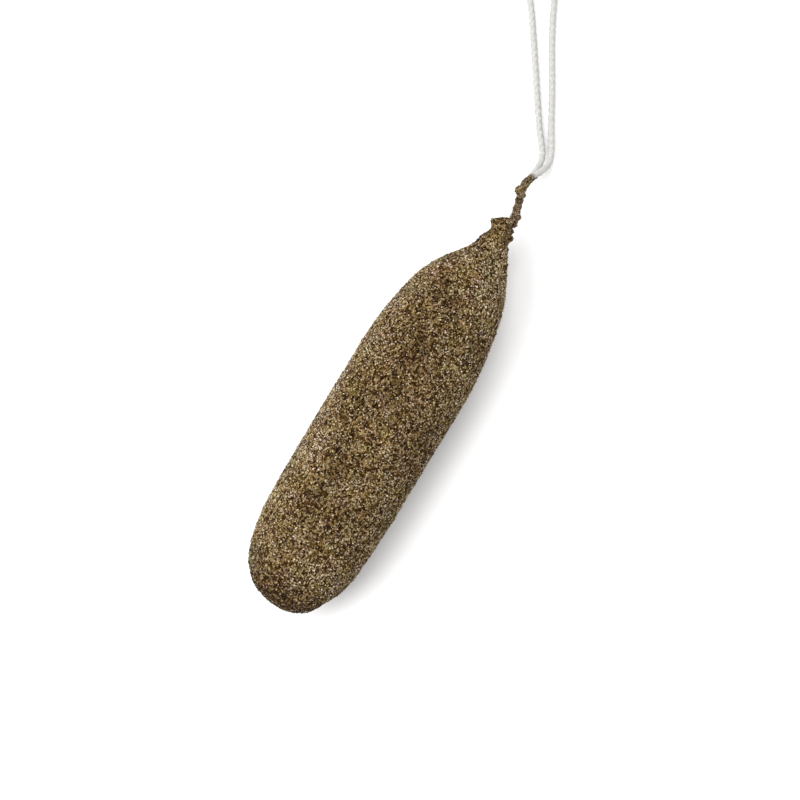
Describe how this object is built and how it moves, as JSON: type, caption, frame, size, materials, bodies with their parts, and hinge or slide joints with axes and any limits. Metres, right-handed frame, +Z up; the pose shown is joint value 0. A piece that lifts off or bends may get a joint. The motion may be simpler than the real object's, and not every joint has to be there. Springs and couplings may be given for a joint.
{
  "type": "cured sausage",
  "caption": "Whole cured sausage in a crushed-pepper coat, round at one end and tied at the other, with a loop of white string.",
  "frame": {"origin": "on the surface that the sausage lies on, under the middle of its bounding box without the loop of string", "axes": "+X along the sausage from its round end to its tied neck, +Z up, +Y to the left when looking along +X"},
  "size_m": [0.296, 0.0809, 0.0456],
  "materials": {
    "pepper_coat": "dry, rough coat of crushed pepper in cream, tan, olive, brown and near black on a natural casing",
    "coated_string": "cotton string caked in crushed pepper",
    "white_string": "soft white twisted cotton string"
  },
  "bodies": {
    "root": {"sausage_body": "pepper_coat", "neck_tie": "coated_string", "hanging_loop": "white_string"}
  },
  "joints": []
}
